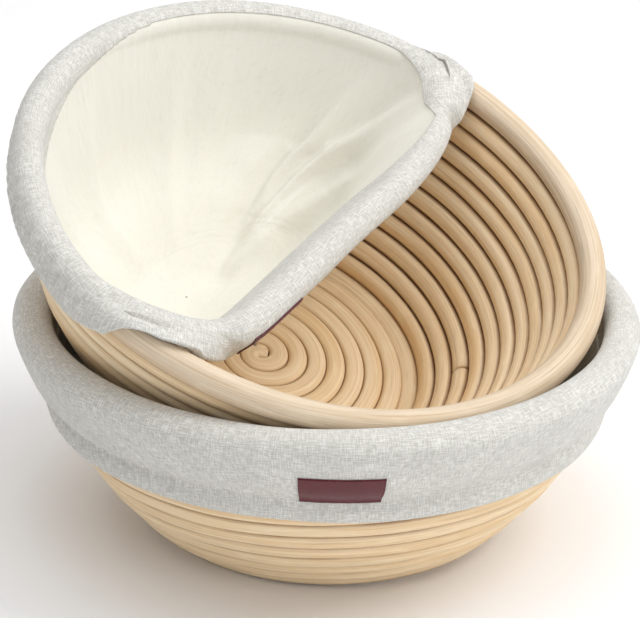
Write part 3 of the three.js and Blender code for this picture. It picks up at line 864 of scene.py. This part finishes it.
class Shader:
    """A Principled material with a short way to add nodes."""

    def __init__(self, name, **values):
        self.material = bpy.data.materials.new(name)
        self.material.use_nodes = True
        self.tree = self.material.node_tree
        self.shader = self.tree.nodes["Principled BSDF"]
        for key, value in values.items():
            self.shader.inputs[key.replace("_", " ")].default_value = value

    def node(self, kind, inputs=None, **settings):
        made = self.tree.nodes.new("ShaderNode" + kind)
        for key, value in settings.items():
            setattr(made, key, value)
        for key, value in (inputs or {}).items():
            self.set(made.inputs[key], value)
        return made

    def set(self, socket, value):
        if isinstance(value, bpy.types.NodeSocket):
            self.tree.links.new(value, socket)
        elif isinstance(value, bpy.types.Node):
            self.tree.links.new(value.outputs[0], socket)
        else:
            socket.default_value = value

    def attribute(self, name, output):
        return self.node("Attribute", attribute_name=name).outputs[output]

    def stretched(self, vector, scale):
        return self.node("VectorMath", {0: vector, 1: scale}, operation="MULTIPLY").outputs[0]

    def noise(self, vector, scale=(1, 1, 1), detail=2.0, roughness=0.5):
        made = self.node("TexNoise", {"Vector": self.stretched(vector, scale)})
        made.inputs["Scale"].default_value = 1
        made.inputs["Detail"].default_value = detail
        made.inputs["Roughness"].default_value = roughness
        return made.outputs[0]

    def mapped(self, value, low, high, to_low=0.0, to_high=1.0):
        return self.node(
            "MapRange",
            {"Value": value, "From Min": low, "From Max": high, "To Min": to_low, "To Max": to_high},
            interpolation_type="SMOOTHSTEP",
        ).outputs[0]

    def math(self, operation, a, b=0.0):
        return self.node("Math", {0: a, 1: b}, operation=operation).outputs[0]

    def mix(self, factor, a, b, blend="MIX"):
        made = self.node("Mix", data_type="RGBA", blend_type=blend)
        colours = [s for s in made.inputs if s.type == "RGBA"]
        self.set(made.inputs[0], factor)
        for socket, value in zip(colours, (a, b)):
            self.set(socket, value if not isinstance(value, tuple) else (*value, 1.0))
        return [s for s in made.outputs if s.type == "RGBA"][0]

    def bump(self, height, strength, distance):
        made = self.node("Bump", {"Height": height, "Strength": strength, "Distance": distance})
        return made.outputs[0]

    def done(self, colour, normal=None, roughness=None):
        self.set(self.shader.inputs["Base Color"], colour)
        if normal is not None:
            self.set(self.shader.inputs["Normal"], normal)
        if roughness is not None:
            self.set(self.shader.inputs["Roughness"], roughness)
        return self.material


def cane_material(name, pale, dark, painted_gap_shade, painted_shade_from):
    """Rattan core: long fibres and pores, uneven honey tones, and painted shade in the gaps between rounds
    and under the rim.
    """
    s = Shader(name, Specular_IOR_Level=0.35)
    cane = s.attribute("cane", "Vector")
    edge = s.attribute("edge", "Fac")
    fibres = s.noise(cane, (1500, 1500, 14), 3.0, 0.6)
    pores = s.noise(cane, (3600, 3600, 45), 2.0)
    tone = s.noise(cane, (120, 120, 7), 2.0)
    patches = s.noise(cane, (260, 260, 60), 3.0)
    colour = s.mix(s.mapped(fibres, 0.3, 0.7), dark, pale)
    warm = tuple(c * w for c, w in zip(dark, (0.98, 0.86, 0.68)))
    colour = s.mix(s.mapped(tone, 0.45, 0.75, 0, 0.55), colour, warm)
    light = tuple(min(1, c * 1.12) for c in pale)
    colour = s.mix(s.mapped(patches, 0.5, 0.8, 0, 0.5), colour, light)
    colour = s.mix(s.mapped(pores, 0.62, 0.74, 0, 0.4), colour, tuple(c * 0.5 for c in dark))
    shade = s.math("ADD", edge, s.mapped(patches, 0.2, 0.8, -0.05, 0.05))
    # Painted shade: the colour darkens towards the gap shade colour where the cane meets the next round,
    # and on the rim's underside.
    colour = s.mix(s.mapped(shade, painted_shade_from, 1.0, 0, 0.85), colour, painted_gap_shade)
    height = s.math("SUBTRACT", fibres, s.math("MULTIPLY", s.mapped(pores, 0.6, 0.75), 0.5))
    rough = s.mapped(fibres, 0.2, 0.8, 0.62, 0.45)
    return s.done(colour, s.bump(height, 0.45, 0.25 * MM), rough)


def weave_height(s, cloth, thread):
    """Plain weave: threads of about that width crossing over and under."""
    turns = 2 * math.pi / thread
    sway = s.noise(cloth, (160, 160, 1), 2.0)
    split = s.node("SeparateXYZ", {0: cloth})
    waves = []
    for output in (0, 1):
        place = s.math("ADD", split.outputs[output], s.math("MULTIPLY", sway, thread * 0.8))
        waves.append(s.math("SINE", s.math("MULTIPLY", place, turns)))
    return s.math("MULTIPLY", waves[0], waves[1])


def linen_material(name, pale, grey, thread):
    """Flecked linen: single threads along and across are paler or greyer than their neighbours."""
    s = Shader(name, Specular_IOR_Level=0.2, Sheen_Weight=0.25, Sheen_Roughness=0.5, Roughness=0.92)
    cloth = s.attribute("cloth", "Vector")
    along = s.noise(cloth, (260, 2300, 1), 2.0, 0.6)
    across = s.noise(cloth, (2300, 260, 1), 2.0, 0.6)
    soft = s.noise(cloth, (60, 60, 1), 3.0)
    flecks = s.math("ADD", s.mapped(along, 0.42, 0.62), s.mapped(across, 0.42, 0.62))
    flecks = s.math("MULTIPLY", flecks, 0.5)
    colour = s.mix(flecks, grey, pale)
    colour = s.mix(s.mapped(soft, 0.3, 0.8, 0, 0.25), colour, tuple(c * 0.86 for c in grey))
    weave = weave_height(s, cloth, thread)
    height = s.math("ADD", s.math("MULTIPLY", weave, 0.5), flecks)
    return s.done(colour, s.bump(height, 0.55, 0.22 * MM))


def lining_material(name, pale, shade, thread):
    """Soft cotton with a close weave, a few slubs and faint crumples."""
    s = Shader(name, Specular_IOR_Level=0.2, Sheen_Weight=0.2, Sheen_Roughness=0.6, Roughness=0.95)
    cloth = s.attribute("cloth", "Vector")
    slubs = s.noise(cloth, (1500, 180, 1), 2.0)
    crossed = s.noise(cloth, (180, 1500, 1), 2.0)
    crumple = s.noise(cloth, (75, 75, 1), 4.0, 0.55)
    threads = s.math("ADD", s.mapped(slubs, 0.5, 0.8), s.mapped(crossed, 0.5, 0.8))
    colour = s.mix(s.math("MULTIPLY", threads, 0.35), pale, shade)
    weave = s.math("MULTIPLY", weave_height(s, cloth, thread), 0.12)
    fine = s.math("ADD", weave, s.math("MULTIPLY", threads, 0.15))
    normal = s.bump(crumple, 0.35, 2.2 * MM)
    made = s.node("Bump", {"Height": fine, "Strength": 0.5, "Distance": 0.2 * MM, "Normal": normal})
    return s.done(colour, made.outputs[0])


def label_material():
    """Dark red woven tape with fine ribs."""
    s = Shader("woven_label", Specular_IOR_Level=0.25, Sheen_Weight=0.3, Sheen_Roughness=0.4, Roughness=0.8)
    cloth = s.attribute("cloth", "Vector")
    ribs = weave_height(s, cloth, 0.5 * MM)
    fuzz = s.noise(cloth, (1600, 1600, 1), 3.0)
    colour = s.mix(s.mapped(fuzz, 0.3, 0.75), (0.075, 0.008, 0.012), (0.2, 0.03, 0.038))
    height = s.math("ADD", ribs, fuzz)
    return s.done(colour, s.bump(height, 0.6, 0.2 * MM))


def plain_material(name, colour, dark, roughness, metallic=0.0):
    s = Shader(name, Metallic=metallic, Roughness=roughness)
    place = s.node("TexCoord").outputs["Object"]
    grain = s.noise(place, (900, 900, 900), 3.0)
    mixed = s.mix(s.mapped(grain, 0.3, 0.7), dark, colour)
    return s.done(mixed, s.bump(grain, 0.2, 0.1 * MM))


def make_materials():
    return {
        # The last colour and number of the cane material set the painted shade in the gaps between rounds,
        # and how near the gap it starts.
        "cane": cane_material(
            "rattan_cane", (0.93, 0.76, 0.53), (0.80, 0.59, 0.35), (0.26, 0.11, 0.035), 0.66
        ),
        # The last colour and number of the rim material set the painted shade on the rim's underside.
        "rim": cane_material(
            "rattan_rim", (0.76, 0.64, 0.49), (0.60, 0.46, 0.31), (0.38, 0.21, 0.08), 0.8
        ),
        "linen": linen_material("flecked_linen", (0.87, 0.86, 0.82), (0.55, 0.54, 0.50), 0.55 * MM),
        "lining": lining_material("cotton_lining", (0.82, 0.80, 0.725), (0.72, 0.695, 0.60), 0.4 * MM),
        "label": label_material(),
        "thread": plain_material("cream_thread", (0.85, 0.83, 0.76), (0.6, 0.58, 0.5), 0.8),
        "elastic": plain_material("elastic_braid", (0.82, 0.82, 0.8), (0.6, 0.6, 0.58), 0.8),
        "steel": plain_material("nail_steel", (0.45, 0.4, 0.34), (0.25, 0.2, 0.15), 0.45, 0.8),
    }


# ---- Studio ----


def area_light(name, place, target, size, power, colour=(1, 1, 1)):
    light = bpy.data.lights.new(name, "AREA")
    light.shape = "DISK"
    light.size = size
    light.energy = power
    light.color = colour
    lamp = bpy.data.objects.new(name, light)
    bpy.context.scene.collection.objects.link(lamp)
    lamp.location = place
    lamp.rotation_euler = (Vector(target) - Vector(place)).to_track_quat("-Z", "Y").to_euler()


def make_camera():
    elevation, roll = math.radians(CAMERA_ELEVATION), math.radians(CAMERA_ROLL)
    back = Vector((0, -math.cos(elevation), math.sin(elevation)))
    level, upright = Vector((1, 0, 0)), Vector((0, math.sin(elevation), math.cos(elevation)))
    right = level * math.cos(roll) + upright * math.sin(roll)
    up = upright * math.cos(roll) - level * math.sin(roll)
    place = CAMERA_TARGET + back * CAMERA_DISTANCE
    data = bpy.data.cameras.new("camera")
    data.lens = CAMERA_LENS
    data.sensor_width = 36
    data.clip_start = 0.05
    camera = bpy.data.objects.new("camera", data)
    camera.matrix_world = Matrix(
        [[right[i], up[i], back[i], place[i]] for i in range(3)] + [[0, 0, 0, 1]]
    )
    bpy.context.scene.collection.objects.link(camera)
    bpy.context.scene.camera = camera


def make_studio():
    world = bpy.data.worlds.new("studio")
    world.use_nodes = True
    background = world.node_tree.nodes["Background"]
    background.inputs[0].default_value = (1.0, 1.0, 1.0, 1)
    background.inputs[1].default_value = 0.5
    bpy.context.scene.world = world
    bpy.context.scene.view_settings.view_transform = "Standard"
    area_light("key", (1.05, 0.0, 1.3), (0, 0, 0.06), 1.1, 13, (1, 0.99, 0.975))
    area_light("fill", (0.9, -1.2, 0.75), (0, 0, 0.06), 1.0, 4.5, (1, 1, 1))
    area_light("top", (-0.15, 0.1, 1.5), (0, 0, 0.06), 1.6, 9, (1, 1, 1))
    size = 6
    floor = mesh_object("floor", [(-size, -size, 0), (size, -size, 0), (size, size, 0), (-size, size, 0)],
                        [(0, 1, 2, 3)])
    floor.location.z = -0.05 * MM
    shader = Shader("paper_floor", Roughness=0.9)
    mottle = shader.noise(shader.node("TexCoord").outputs["Object"], (40, 40, 40), 3.0)
    floor.data.materials.append(shader.done(shader.mix(mottle, (0.95, 0.95, 0.955), (0.97, 0.97, 0.975))))


make_camera()
make_studio()
materials = make_materials()
basket("lower", LOWER_TURN, LOWER, 11, materials)
basket("upper", UPPER_TURN, UPPER, 83, materials)
lower_liner(materials)
upper_liner(materials)
